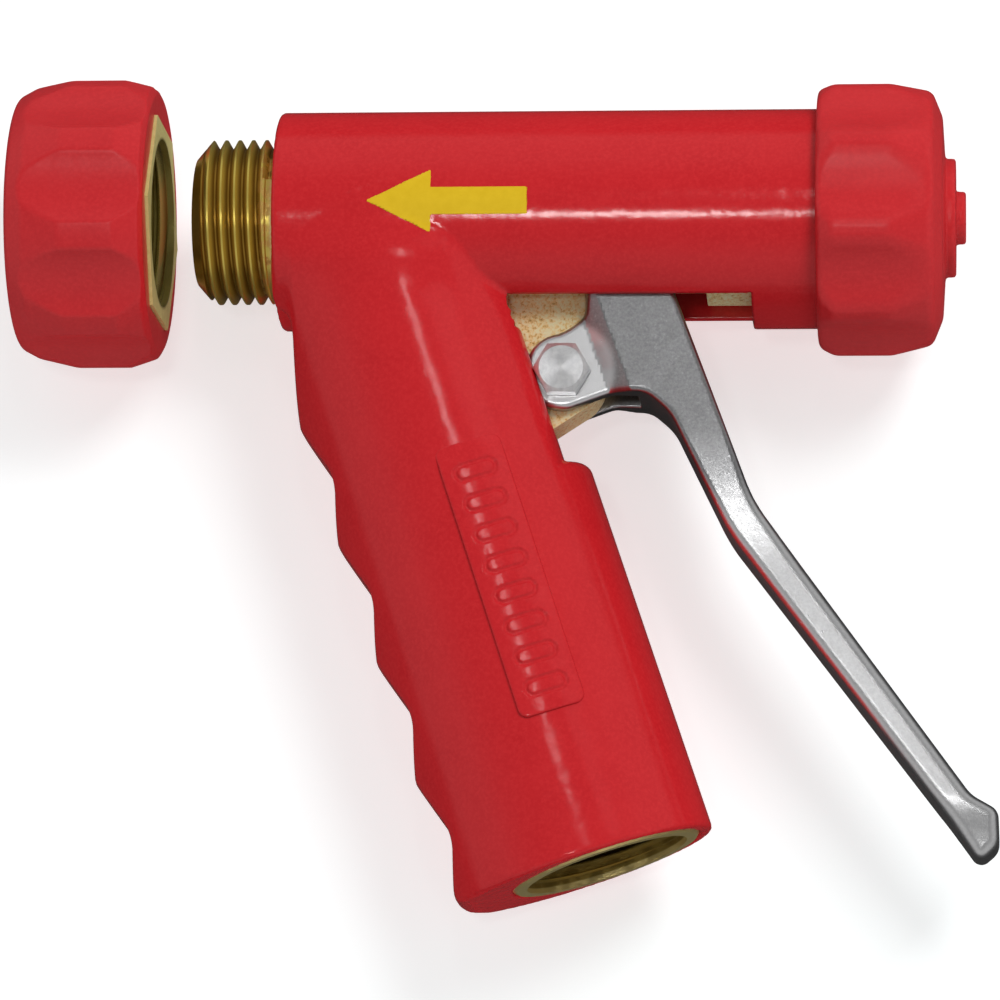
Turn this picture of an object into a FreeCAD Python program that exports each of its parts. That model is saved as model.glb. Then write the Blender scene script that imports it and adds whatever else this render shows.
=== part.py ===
"""Pistol-grip spray nozzle for a washdown or fire hose, as an assembly of separate pieces.

The nozzle lies on its side.  +X runs along the barrel from the spray outlet to the rear cap, +Y is
away from the grip, and +Z is up.  The origin is on the barrel's axis, halfway along the outlet
thread.  The grip's pieces are drawn in their own frame, with -Y down the grip, and are then turned
by the grip's rake.  Lengths are in millimetres.
"""
import FreeCAD, Part
import Sketcher

import math
import os
import re

# Driving dimensions: alias, value and what it sizes.
SIZES = [
    # Outlet thread: 3/4-11.5 garden hose thread.
    ("outlet_pitch", 2.2087, "25.4 / 11.5"),
    ("outlet_crest", 13.49, "male crest radius"),
    ("outlet_depth", 1.43, "thread depth"),
    ("outlet_land", 0.30, "width of a crest's flat"),
    ("outlet_start", -7.91, "centre of the first groove"),
    ("outlet_turns", 6.2, "turns of groove"),
    ("screw_clearance", 0.20, "radial clearance of the female thread"),
    # Barrel of the brass casting.
    ("nose_front", -6.9, "front plane of the nose"),
    ("nose_shoulder", 5.2, "end of the threaded nose"),
    ("barrel_radius", 14.0, "outside of the brass barrel"),
    ("barrel_rear", 106.0, "rear end of the brass barrel"),
    ("mouth_radius", 8.6, "wide end of the spray cone"),
    ("throat_radius", 4.8, "orifice"),
    ("throat_front", 2.0, "front of the orifice"),
    ("seat_face", 4.5, "valve seat"),
    ("chamber_radius", 9.3, "water chamber"),
    ("chamber_rear", 34.0, "end of the water chamber"),
    ("packing_radius", 6.5, "packing box bore"),
    ("spring_bore_front", 49.0, "front of the spring bore"),
    ("spring_bore", 10.6, "spring bore radius"),
    ("slot_front", 56.8, "front of the lever slot in the brass"),
    ("slot_rear", 76.4, "rear of the lever slot in the brass"),
    ("slot_half", 9.8, "half width of the lever slot in the brass"),
    # Grip, in its own frame.
    ("grip_origin", 25.4, "where the grip's axis crosses the barrel's"),
    ("grip_rake", 18.6, "degrees"),
    ("grip_tube", 12.0, "outside radius of the casting's tube"),
    ("grip_passage", 8.5, "water passage radius"),
    ("grip_length", 111.6, "barrel axis to the inlet's face"),
    ("boss_radius", 15.65, "inlet boss"),
    ("boss_length", 26.0, "inlet boss"),
    # Inlet thread: 3/4-14 straight pipe thread, female.
    ("inlet_pitch", 1.8143, "25.4 / 14"),
    ("inlet_crest", 12.25, "female crest radius"),
    ("inlet_depth", 0.95, "thread depth"),
    ("inlet_length", 18.0, "threaded length"),
    ("inlet_mouth", 13.4, "counterbore at the mouth, clear of the thread"),
    ("mouth_depth", 1.6, "depth of the mouth's counterbore"),
    # Lug and lever pivot.
    ("pivot_x", 53.4, "lever pivot"),
    ("pivot_y", -26.7, "lever pivot"),
    ("lug_half", 4.2, "half thickness of the lug"),
    ("lug_radius", 6.6, "boss round the pivot"),
    ("bolt_radius", 2.5, "pivot bolt's shank"),
    ("bolt_flats", 7.94, "5/16 in across flats"),
    ("bolt_head", 3.2, "head height"),
    ("bolt_crown", 3.55, "radius of the turned disc on a hexagon's end"),
    ("nut_height", 4.0, "lock nut height"),
    ("pivot_play", 0.06, "radial clearance of the lever on its bolt"),
    ("side_play", 0.25, "clearance beside the lever's ears"),
    # Rubber cover.
    ("cover_front", 6.8, "front plane of the cover"),
    ("cover_rear", 95.4, "rear end of the cover"),
    ("cover_radius", 17.86, "outside of the covered barrel"),
    ("cover_edge", 0.8, "front edge chamfer"),
    ("cover_slot_rear", 83.8, "rear of the slot in the rubber"),
    ("cover_slot_half", 10.9, "half width of the slot in the rubber"),
    ("grip_back", 17.8, "back of the grip from its axis"),
    ("grip_front", 25.3, "finger cusps from the grip's axis"),
    ("grip_half", 17.9, "half thickness of the grip"),
    ("heel_flat", 13.4, "flat behind the lug, from the grip's axis"),
    ("heel_length", 48.5, "barrel axis to the heel"),
    ("first_cusp", 27.4, "barrel axis to the first finger cusp"),
    ("finger_pitch", 20.4, "cusp to cusp"),
    ("finger_depth", 2.7, "depth of a finger groove"),
    # Lever.
    ("lever_half", 9.2, "half width of the lever's head"),
    ("arm_half", 7.2, "half width of the lever's arm"),
    ("ear_half", 7.0, "outside of the lever's ears"),
    ("fork_half", 4.45, "half width of the fork"),
    ("prong_half", 8.2, "outside of the prongs in the barrel"),
    ("prong_x", 62.4, "centre of the prongs' round ends"),
    ("prong_radius", 3.0, "round end of a prong"),
    ("prong_lost_motion", 0.35, "free play before the prongs reach the washer"),
    ("ear_radius", 6.0, "ear round the pivot"),
    # Stem, spring and packing.
    ("stem_radius", 3.0, "valve stem"),
    ("stem_end", 98.0, "rear end of the stem"),
    ("spigot_radius", 2.0, "thin front end of the stem"),
    ("disc_radius", 6.6, "valve disc"),
    ("disc_thick", 3.2, "valve disc"),
    ("flange_thick", 1.6, "stem flange behind the disc"),
    ("plug_front", -4.6, "front of the spray plug"),
    ("plug_radius", 4.4, "spray plug at the seat"),
    ("plug_tip", 2.9, "spray plug at its tip"),
    ("washer_thick", 1.6, "thrust washer"),
    ("washer_radius", 9.7, "thrust washer"),
    ("stem_nut_flats", 11.0, "nuts on the stem"),
    ("stem_nut_thick", 4.4, "nuts on the stem"),
    ("spring_wire", 0.7, "wire radius"),
    ("spring_mean", 8.0, "coil radius"),
    ("spring_turns", 6.0, "turns of wire"),
    ("packing_ring", 2.0, "thickness of one packing ring"),
    ("gland_flats", 14.0, "gland nut across flats"),
    ("gland_head", 4.0, "gland nut's head"),
    ("stem_play", 0.05, "radial clearance of the stem in its guides"),
    # Rear cap and bumper.
    ("cap_front", 97.0, "front of the rear cap"),
    ("cap_rear", 112.0, "rear of the rear cap"),
    ("cap_radius", 17.0, "rear cap's outside"),
    ("gasket_thick", 1.0, "rear gasket"),
    ("bumper_front", 94.3, "front of the rear bumper"),
    ("bumper_rear", 114.3, "rear face of the rear bumper"),
    ("bumper_radius", 22.27, "rear bumper's outside"),
    ("bumper_button", 9.63, "moulded button"),
    ("bumper_pip", 4.28, "moulded pip"),
    # Ring nut and its cover.
    ("ring_front", -36.2, "front plane of the ring's cover"),
    ("ring_rear", -13.5, "rear plane of the ring's cover"),
    ("ring_radius", 23.67, "ring's outside"),
    ("nut_flats", 31.75, "1 1/4 in across flats"),
    ("nut_front", -34.2, "front face of the ring nut"),
    ("nut_rear", -13.0, "rear face of the ring nut"),
    ("nut_floor", -26.9, "inner face that the washer sits on"),
    ("nut_bore", 9.5, "spray opening in the ring nut"),
    ("hose_washer", 2.4, "thickness of the ring's washer"),
    ("scoop_count", 9, "scoops round the ring and the bumper"),
    ("scoop_radius", 18.0, "radius of a scoop"),
    ("scoop_depth", 1.8, "depth of a scoop"),
    ("scoop_phase", 1.7, "degrees from +Z towards +Y to a scoop"),
]

doc = FreeCAD.newDocument("SprayNozzle")
sheet = doc.addObject("Spreadsheet::Sheet", "Sizes")
for row, (alias, size, note) in enumerate(SIZES, start=1):
    sheet.set(f"A{row}", alias)
    sheet.set(f"B{row}", str(size))
    sheet.set(f"C{row}", "'" + note)
    sheet.setAlias(f"B{row}", alias)
doc.recompute()

ALIASES = {alias for alias, size, note in SIZES}
PIECES = {}


# --- helpers -------------------------------------------------------------------------------------

def bound(text):
    """An expression with each alias written as a cell of the sheet."""
    return re.sub(r"[a-z_]+", lambda m: "Sizes." + m[0] if m[0] in ALIASES else m[0], str(text))


def number(text):
    """The value of an expression now."""
    return float(sheet.evalExpression(bound(text)))


def bind(thing, **properties):
    """Tie properties of a document object to expressions over the sheet."""
    for name, text in properties.items():
        thing.setExpression(name, bound(text))


def new_body(label):
    body = doc.addObject("PartDesign::Body", label)
    body.Label = label
    return body


def new_sketch(body, name, role="XY_Plane"):
    sketch = body.newObject("Sketcher::SketchObject", name)
    plane = next(item for item in body.Origin.OriginFeatures if item.Role == role)
    sketch.AttachmentSupport = [(plane, "")]
    sketch.MapMode = "FlatFace"
    return sketch


def hold_vertex(sketch, geometry, corner):
    """Fix the start of a sketch line at a corner given as two expressions."""
    for kind, text in zip(("DistanceX", "DistanceY"), corner):
        index = sketch.addConstraint(Sketcher.Constraint(kind, -1, 1, geometry, 1, number(text)))
        sketch.setExpression(f"Constraints[{index}]", bound(text))


def draw_outline(sketch, corners):
    """Close a loop of lines through corners, each bound to the sheet."""
    points = [FreeCAD.Vector(number(across), number(up), 0) for across, up in corners]
    first = sketch.GeometryCount
    count = len(points)
    for index, point in enumerate(points):
        sketch.addGeometry(Part.LineSegment(point, points[(index + 1) % count]), False)
    for index in range(count):
        after = first + (index + 1) % count
        sketch.addConstraint(Sketcher.Constraint("Coincident", first + index, 2, after, 1))
    for index, corner in enumerate(corners):
        hold_vertex(sketch, first + index, corner)


def draw_circle(sketch, across, up, radius):
    """A circle whose centre and radius are bound to the sheet."""
    centre = FreeCAD.Vector(number(across), number(up), 0)
    index = sketch.addGeometry(Part.Circle(centre, FreeCAD.Vector(0, 0, 1), number(radius)), False)
    for kind, text in (("DistanceX", across), ("DistanceY", up)):
        held = sketch.addConstraint(Sketcher.Constraint(kind, -1, 1, index, 3, number(text)))
        sketch.setExpression(f"Constraints[{held}]", bound(text))
    held = sketch.addConstraint(Sketcher.Constraint("Radius", index, number(radius)))
    sketch.setExpression(f"Constraints[{held}]", bound(radius))


def turned(label, outline):
    """A body turned about its X axis from an outline of (x, radius) corners."""
    body = new_body(label)
    sketch = new_sketch(body, label + "_section")
    draw_outline(sketch, outline)
    turn = body.newObject("PartDesign::Revolution", label + "_turned")
    turn.Profile = sketch
    turn.ReferenceAxis = (sketch, ["H_Axis"])
    turn.Angle = 360
    doc.recompute()
    return body


def turned_down(label, outline):
    """A body turned about its Y axis from an outline of (distance down the grip, radius)."""
    body = new_body(label)
    sketch = new_sketch(body, label + "_section")
    draw_outline(sketch, [(radius, f"-({down})") for down, radius in outline])
    turn = body.newObject("PartDesign::Revolution", label + "_turned")
    turn.Profile = sketch
    turn.ReferenceAxis = (sketch, ["V_Axis"])
    turn.Angle = 360
    doc.recompute()
    return body


def plate(label, outline, thickness, role="XY_Plane"):
    """A body padded equally both ways from an outline."""
    body = new_body(label)
    sketch = new_sketch(body, label + "_outline", role)
    draw_outline(sketch, outline)
    pad = body.newObject("PartDesign::Pad", label + "_pad")
    pad.Profile = sketch
    pad.SideType = "Symmetric"
    bind(pad, Length=thickness)
    doc.recompute()
    return body


def round_corners(body, corners):
    """Fillet the plate's upright edges: corners are (x, y, radius), the largest radius last."""
    for across, up, radius in corners:
        spot = FreeCAD.Vector(number(across), number(up), 0)
        names = []
        for index, edge in enumerate(body.Tip.Shape.Edges, start=1):
            ends = [vertex.Point for vertex in edge.Vertexes]
            if len(ends) == 2 and all(math.dist(end[:2], spot[:2]) < 0.01 for end in ends):
                names.append(f"Edge{index}")
        before = body.Tip
        fillet = body.newObject("PartDesign::Fillet", body.Label + "_round")
        fillet.Base = (before, names)
        bind(fillet, Radius=radius)
        doc.recompute()


def hexagon(across_x, across_y, flats, turn=0):
    """Corners of a hexagon with the given distance across its flats."""
    corners = []
    for index in range(6):
        angle = math.radians(60 * index + turn)
        reach = f"{flats} / {math.sqrt(3):.6f}"
        corners.append((f"{across_x} + {reach} * {math.cos(angle):.6f}",
                        f"{across_y} + {reach} * {math.sin(angle):.6f}"))
    return corners


def polar_pocket(body, name, circle, count):
    """Cut a circle right through along X, and repeat the cut round the X axis."""
    sketch = new_sketch(body, name + "_circle", "YZ_Plane")
    draw_circle(sketch, *circle)
    before = body.Shape.Volume
    pocket = body.newObject("PartDesign::Pocket", name)
    pocket.Profile = sketch
    pocket.SideType = "Symmetric"
    pocket.Type = "Length"
    pocket.Length = 400
    doc.recompute()
    if not pocket.Shape.Volume < before:
        raise RuntimeError(name + " cuts nothing")
    pattern = body.newObject("PartDesign::PolarPattern", name + "_ring")
    pattern.Originals = [pocket]
    axis = next(item for item in body.Origin.OriginFeatures if item.Role == "X_Axis")
    pattern.Axis = (axis, [""])
    pattern.Angle = 360
    bind(pattern, Occurrences=count)
    body.Tip = pattern
    doc.recompute()


def thread_tool(label, tooth, pitch, turns, axis="H_Axis"):
    """A right-hand helical ridge, swept from the outline of one tooth."""
    body = new_body(label)
    sketch = new_sketch(body, label + "_tooth")
    draw_outline(sketch, tooth)
    helix = body.newObject("PartDesign::AdditiveHelix", label + "_helix")
    helix.Profile = sketch
    helix.ReferenceAxis = (sketch, [axis])
    helix.Mode = "pitch-height-angle"
    bind(helix, Pitch=pitch, Height=f"{pitch} * {turns}")
    helix.Angle = 0
    helix.LeftHanded = False
    doc.recompute()
    return body


def combine(kind, label, *parts):
    """Fuse parts, or cut the rest from the first, or keep what two share."""
    if kind == "Fuse":
        thing = doc.addObject("Part::MultiFuse", label)
        thing.Shapes = list(parts)
    elif kind == "Common":
        thing = doc.addObject("Part::MultiCommon", label)
        thing.Shapes = list(parts)
    else:
        thing = doc.addObject("Part::Cut", label)
        thing.Base = parts[0]
        thing.Tool = parts[1] if len(parts) == 2 else combine("Fuse", label + "_tools", *parts[1:])
    thing.Label = label
    doc.recompute()
    return thing


def block(label, low, high):
    """A box between two corners."""
    box = doc.addObject("Part::Box", label)
    for side, (start, end) in zip(("Length", "Width", "Height"), zip(low, high)):
        bind(box, **{side: f"({end}) - ({start})"})
    for axis, start in zip("xyz", low):
        box.setExpression("Placement.Base." + axis, bound(start))
    doc.recompute()
    return box


def rod_z(label, across, up, radius, low, high):
    """A cylinder along Z."""
    rod = doc.addObject("Part::Cylinder", label)
    bind(rod, Radius=radius, Height=f"({high}) - ({low})")
    for axis, start in zip("xyz", (across, up, low)):
        rod.setExpression("Placement.Base." + axis, bound(start))
    doc.recompute()
    return rod


def rake(thing):
    """Turn a piece drawn in the grip's frame into place."""
    thing.Placement = FreeCAD.Placement(FreeCAD.Vector(), FreeCAD.Rotation(FreeCAD.Vector(0, 0, 1), 1))
    thing.setExpression("Placement.Base.x", bound("grip_origin"))
    thing.setExpression("Placement.Rotation.Angle", bound("grip_rake"))
    doc.recompute()
    return thing


def piece(label, thing):
    """Record a finished sub-part under its own name."""
    thing.Label = label
    PIECES[label] = thing
    return thing


# --- brass casting -------------------------------------------------------------------------------

def tooth_outline(centre, root, tip, half_at_root, half_at_tip):
    """A thread tooth: wide at one radius, narrow at the other."""
    return [(f"{centre} - ({half_at_root})", root), (f"{centre} - ({half_at_tip})", tip),
            (f"{centre} + ({half_at_tip})", tip), (f"{centre} + ({half_at_root})", root)]


SLOPE = math.tan(math.radians(30))
OVERCUT = 0.15


def outlet_groove():
    """The space between the male threads of the nose."""
    narrow = f"(outlet_pitch - outlet_land) / 2 - outlet_depth * {SLOPE:.6f}"
    wide = f"(outlet_pitch - outlet_land) / 2 + {OVERCUT * SLOPE:.6f}"
    tooth = tooth_outline("outlet_start", f"outlet_crest + {OVERCUT}", "outlet_crest - outlet_depth",
                          wide, narrow)
    return thread_tool("outlet_groove", tooth, "outlet_pitch", "outlet_turns")


def inlet_groove():
    """The groove of the female pipe thread, in the grip's frame."""
    half = "inlet_pitch / 2 - 0.12"
    narrow = f"{half} - inlet_depth * {SLOPE:.6f}"
    wide = f"{half} + {OVERCUT * SLOPE:.6f}"
    start = "-(grip_length + inlet_pitch)"
    tooth = [(f"inlet_crest - {OVERCUT}", f"{start} - ({wide})"),
             ("inlet_crest + inlet_depth", f"{start} - ({narrow})"),
             ("inlet_crest + inlet_depth", f"{start} + ({narrow})"),
             (f"inlet_crest - {OVERCUT}", f"{start} + ({wide})")]
    return rake(thread_tool("inlet_groove", tooth, "inlet_pitch", "9.6", "V_Axis"))


def casting_outside():
    """Barrel, grip tube, inlet boss and the lug for the lever."""
    barrel = turned("casting_barrel", [
        ("nose_front", "0"), ("nose_front", "outlet_crest - 3"),
        ("nose_front + 2.6", "outlet_crest"), ("nose_shoulder", "outlet_crest"),
        ("nose_shoulder + 0.2", "outlet_crest - 0.3"), ("cover_front", "outlet_crest - 0.3"),
        ("cover_front + 0.3", "barrel_radius"), ("barrel_rear", "barrel_radius"), ("barrel_rear", "0")])
    grip = rake(turned_down("casting_grip", [
        ("0", "0"), ("0", "grip_tube"), ("grip_length - boss_length", "grip_tube"),
        ("grip_length - boss_length + 3", "boss_radius"), ("grip_length - 0.6", "boss_radius"),
        ("grip_length", "boss_radius - 0.6"), ("grip_length", "0")]))
    web = plate("casting_web", [
        ("36", "-9"), ("pivot_x + 4", "-9"), ("pivot_x + 5.4", "-18"),
        ("pivot_x + lug_radius - 0.1", "pivot_y"), ("pivot_x + 3.3", "pivot_y - 5.7"),
        ("pivot_x - 4", "pivot_y - 10.5"), ("40", "pivot_y - 16")], "2 * lug_half")
    boss = rod_z("casting_boss", "pivot_x", "pivot_y", "lug_radius", "-lug_half", "lug_half")
    return combine("Fuse", "casting_outside", barrel, grip, web, boss)


def body_casting(outside):
    bores = turned("casting_bores", [
        ("nose_front - 1", "0"), ("nose_front - 1", "mouth_radius + 0.5"),
        ("throat_front", "throat_radius"), ("seat_face", "throat_radius"),
        ("seat_face", "chamber_radius"), ("chamber_rear", "chamber_radius"),
        ("chamber_rear", "packing_radius"), ("spring_bore_front", "packing_radius"),
        ("spring_bore_front", "spring_bore"), ("barrel_rear + 1", "spring_bore"),
        ("barrel_rear + 1", "0")])
    passage = rake(turned_down("casting_passage", [
        ("2", "0"), ("2", "grip_passage"), ("grip_length - inlet_length - 4", "grip_passage"),
        ("grip_length - inlet_length", "inlet_crest"),
        ("grip_length - mouth_depth - 0.6", "inlet_crest"), ("grip_length - mouth_depth", "inlet_mouth"),
        ("grip_length + 1", "inlet_mouth"), ("grip_length + 1", "0")]))
    slot = block("casting_slot", ("slot_front", "-barrel_radius - 2", "-slot_half"),
                 ("slot_rear", "0", "slot_half"))
    hole = rod_z("casting_pivot_hole", "pivot_x", "pivot_y", "bolt_radius", "-20", "20")
    bored = combine("Cut", "casting_bored", outside, bores, passage, slot, hole)
    threaded = combine("Cut", "casting_threaded", bored, outlet_groove())
    return piece("body_casting", combine("Cut", "body_casting", threaded, inlet_groove()))


# --- rubber cover --------------------------------------------------------------------------------

def grip_block():
    """The grip's side outline, with its finger grooves, in the grip's frame."""
    corners = [("-17.5", "0"), ("-20.9", "-13.4")]
    for finger in range(4):
        cusp = f"first_cusp + {finger} * finger_pitch"
        corners.append(("-grip_front", f"-({cusp})"))
        for share, depth in ((0.20, 0.74), (0.38, 1.0), (0.62, 0.86), (0.86, 0.34)):
            last = finger == 3 and share > 0.8
            if not last:
                corners.append((f"-grip_front + finger_depth * {depth}",
                                f"-({cusp} + finger_pitch * {share})"))
    corners += [("-grip_front + 1.4", "-grip_length + 5"), ("-grip_front + 1.4", "-grip_length + 0.3"),
                ("grip_back", "-grip_length + 0.3"), ("grip_back", "-heel_length - 3.6"),
                ("heel_flat + 2.4", "-heel_length"), ("heel_flat", "-heel_length"), ("heel_flat", "0")]
    return rake(plate("grip_block", corners, "2 * grip_half + 2"))


def grip_section():
    """An oval prism down the grip, which rounds the block."""
    oval = doc.addObject("Part::Ellipse", "grip_oval")
    bind(oval, MajorRadius="(grip_back + grip_front) / 2", MinorRadius="grip_half")
    doc.recompute()
    prism = doc.addObject("Part::Extrusion", "grip_prism")
    prism.Base = oval
    prism.DirMode = "Custom"
    prism.Dir = FreeCAD.Vector(0, 0, 1)
    prism.Solid = True
    bind(prism, LengthFwd="grip_length + 10")
    turn = FreeCAD.Rotation(FreeCAD.Vector(0, 0, 1), number("grip_rake"))
    lie = FreeCAD.Rotation(FreeCAD.Vector(1, 0, 0), 90)
    middle = FreeCAD.Vector(number("(grip_back - grip_front) / 2"), 5, 0)
    start = FreeCAD.Vector(number("grip_origin"), 0, 0)
    prism.Placement = FreeCAD.Placement(start + turn.multVec(middle), turn.multiply(lie))
    doc.recompute()
    return prism


def rubber_cover(outside):
    barrel = turned("cover_barrel", [
        ("cover_front", "0"), ("cover_front", "cover_radius - cover_edge"),
        ("cover_front + cover_edge", "cover_radius"), ("cover_rear", "cover_radius"),
        ("cover_rear", "0")])
    grip = combine("Common", "cover_grip", grip_block(), grip_section())
    skin = combine("Fuse", "cover_skin", barrel, grip)
    slot = block("cover_slot", ("heel_flat / cos(grip_rake * 1deg) + grip_origin + 4.9",
                                "-cover_radius - 2", "-cover_slot_half"),
                 ("cover_slot_rear", "-4", "cover_slot_half"))
    relief = rod_z("cover_relief", "pivot_x", "pivot_y", "ear_radius + 0.8",
                   "-ear_half - 0.6", "ear_half + 0.6")
    return piece("rubber_cover", combine("Cut", "rubber_cover", skin, outside, slot, relief))


# --- lever and its pivot -------------------------------------------------------------------------

LEVER_OUTLINE = [
    # Prongs that reach into the barrel.
    ("prong_x - prong_radius", "prong_radius"), ("prong_x + prong_radius", "prong_radius"),
    ("prong_x + prong_radius", "-10.6"), ("70.6", "-11.8"),
    # Outer edge, the bend and the arm down to the flared end.
    ("84.2", "-47.8"), ("118.9", "-95.2"), ("123.2", "-97.6"), ("123.4", "-103.2"),
    ("120.2", "-106.0"), ("115.4", "-99.2"),
    # Inner edge, the bend and the arch under the head.
    ("80.2", "-53.0"), ("70.9", "-33.8"), ("67.4", "-30.2"), ("62.0", "-29.8"),
    ("pivot_x + 4.4", "pivot_y - 4.6"), ("pivot_x", "pivot_y - ear_radius"),
    ("pivot_x - ear_radius", "pivot_y - ear_radius"), ("pivot_x - ear_radius", "pivot_y + ear_radius"),
    ("pivot_x", "pivot_y + ear_radius + 0.4"), ("56.6", "-18.0"), ("57.2", "-11.8"),
    ("prong_x - prong_radius", "-10.2")]

LEVER_ROUNDS = [
    ("prong_x - prong_radius", "prong_radius", "prong_radius - 0.02"),
    ("prong_x + prong_radius", "prong_radius", "prong_radius - 0.02"),
    ("123.2", "-97.6", "2"), ("123.4", "-103.2", "2.5"), ("120.2", "-106.0", "1.5"),
    ("67.4", "-30.2", "4"), ("80.2", "-53.0", "30"), ("84.2", "-47.8", "24"),
    ("pivot_x - ear_radius", "pivot_y - ear_radius", "ear_radius - 0.05"),
    ("pivot_x - ear_radius", "pivot_y + ear_radius", "ear_radius - 0.05")]


def lever():
    """Forged lever: two ears on the lug, a fork round the stem, and a bent arm."""
    side = plate("lever_side", LEVER_OUTLINE, "2 * lever_half")
    round_corners(side, LEVER_ROUNDS)
    front = plate("lever_front", [
        ("30", "-lever_half"), ("78", "-lever_half"), ("90", "-arm_half"), ("130", "-arm_half"),
        ("130", "arm_half"), ("90", "arm_half"), ("78", "lever_half"), ("30", "lever_half")],
        "260", "XZ_Plane")
    blank = combine("Common", "lever_blank", side, front)
    fork = plate("lever_fork", [
        ("40", "12"), ("67.5", "12"), ("67.5", "-20"), ("65", "-28.6"), ("62.6", "-36"), ("40", "-36")],
        "2 * fork_half")
    cheek_outline = [("40", "-17.9"), ("56.8", "-17.9"), ("61.6", "-31.4"), ("61.6", "-40"), ("40", "-40")]
    cheek = plate("lever_cheek", cheek_outline, "2 * lever_half + 2")
    keep = plate("lever_cheek_keep", cheek_outline, "2 * ear_half")
    cheeks = combine("Cut", "lever_cheeks", cheek, keep)
    neck = plate("lever_neck", [("40", "-9.9"), ("68", "-9.9"), ("68", "8"), ("40", "8")],
                 "2 * lever_half + 2")
    neck_keep = plate("lever_neck_keep", [("39", "-11"), ("69", "-11"), ("69", "9"), ("39", "9")],
                      "2 * prong_half")
    necks = combine("Cut", "lever_necks", neck, neck_keep)
    hole = rod_z("lever_hole", "pivot_x", "pivot_y", "bolt_radius + pivot_play", "-20", "20")
    return piece("lever", combine("Cut", "lever", blank, fork, cheeks, necks, hole))


def crowned(label, hexagonal, low, high):
    """A hexagon with the corners of one end turned to a 30 degree cone; that end is at high."""
    cone = doc.addObject("Part::Cone", label + "_cone")
    size = f"abs(({high}) - ({low}))"
    bind(cone, Radius1="bolt_crown", Radius2=f"bolt_crown + {size} * {1 / SLOPE:.6f}", Height=size)
    upright = number(high) < number(low)
    spin = FreeCAD.Rotation(FreeCAD.Vector(1, 0, 0), 0 if upright else 180)
    cone.Placement = FreeCAD.Placement(FreeCAD.Vector(), spin)
    for axis, place in zip("xyz", ("pivot_x", "pivot_y", high)):
        cone.setExpression("Placement.Base." + axis, bound(place))
    return combine("Common", label, hexagonal, cone)


def pivot_bolt():
    shank = rod_z("bolt_shank", "pivot_x", "pivot_y", "bolt_radius",
                  "-ear_half - side_play - nut_height - 0.6", "ear_half + side_play + 0.1")
    head = plate("bolt_hexagon", hexagon("pivot_x", "pivot_y", "bolt_flats"), "bolt_head")
    head.setExpression("Placement.Base.z", bound("ear_half + side_play + bolt_head / 2"))
    doc.recompute()
    crown = crowned("bolt_crowned", head, "ear_half + side_play", "ear_half + side_play + bolt_head")
    return piece("pivot_bolt", combine("Fuse", "pivot_bolt", shank, crown))


def pivot_nut():
    hexagonal = plate("nut_hexagon", hexagon("pivot_x", "pivot_y", "bolt_flats"), "nut_height")
    hexagonal.setExpression("Placement.Base.z", bound("-ear_half - side_play - nut_height / 2"))
    crown = crowned("nut_crowned", hexagonal, "-ear_half - side_play",
                    "-ear_half - side_play - nut_height")
    bore = rod_z("nut_hole", "pivot_x", "pivot_y", "bolt_radius", "-20", "0")
    return piece("pivot_nut", combine("Cut", "pivot_nut", crown, bore))


# --- stem, valve and spring ----------------------------------------------------------------------

THRUST = "prong_x + prong_radius + prong_lost_motion"
DISC_REAR = "seat_face + 0.05 + disc_thick"


def valve_stem():
    return piece("valve_stem", turned("valve_stem", [
        ("plug_front + 2", "0"), ("plug_front + 2", "spigot_radius"), (DISC_REAR, "spigot_radius"),
        (DISC_REAR, "disc_radius - 0.9"), (f"{DISC_REAR} + flange_thick", "disc_radius - 0.9"),
        (f"{DISC_REAR} + flange_thick + 1", "stem_radius"), ("stem_end - 1", "stem_radius"),
        ("stem_end", "stem_radius - 1"), ("stem_end", "0")]))


def valve_disc():
    return piece("valve_disc", turned("valve_disc", [
        ("seat_face + 0.05", "spigot_radius"), ("seat_face + 0.05", "disc_radius - 0.4"),
        ("seat_face + 0.45", "disc_radius"), (DISC_REAR, "disc_radius"), (DISC_REAR, "spigot_radius")]))


def spray_plug():
    return piece("spray_plug", turned("spray_plug", [
        ("plug_front", "0"), ("plug_front", "plug_tip - 0.8"), ("plug_front + 0.8", "plug_tip"),
        ("throat_front - 0.5", "plug_radius"), ("seat_face + 0.05", "plug_radius"),
        ("seat_face + 0.05", "spigot_radius"), ("plug_front + 2", "spigot_radius"),
        ("plug_front + 2", "0")]))


def thrust_washer():
    return piece("thrust_washer", turned("thrust_washer", [
        (THRUST, "stem_radius"), (THRUST, "washer_radius"), (f"{THRUST} + washer_thick", "washer_radius"),
        (f"{THRUST} + washer_thick", "stem_radius")]))


def hex_nut(label, flats, thick, bore, start):
    """A hexagon nut on the barrel's axis, from start towards +X, with flats facing +Y and -Y."""
    body = new_body(label)
    sketch = new_sketch(body, label + "_hexagon", "YZ_Plane")
    draw_outline(sketch, hexagon("0", "0", flats, 30))
    draw_circle(sketch, "0", "0", bore)
    pad = body.newObject("PartDesign::Pad", label + "_pad")
    pad.Profile = sketch
    bind(pad, Length=thick)
    body.setExpression("Placement.Base.x", bound(start))
    doc.recompute()
    return body


def stem_nuts():
    first = f"{THRUST} + washer_thick"
    piece("adjusting_nut", hex_nut("adjusting_nut", "stem_nut_flats", "stem_nut_thick", "stem_radius", first))
    piece("jam_nut", hex_nut("jam_nut", "stem_nut_flats", "stem_nut_thick * 0.6", "stem_radius",
                             f"{first} + stem_nut_thick"))


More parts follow.
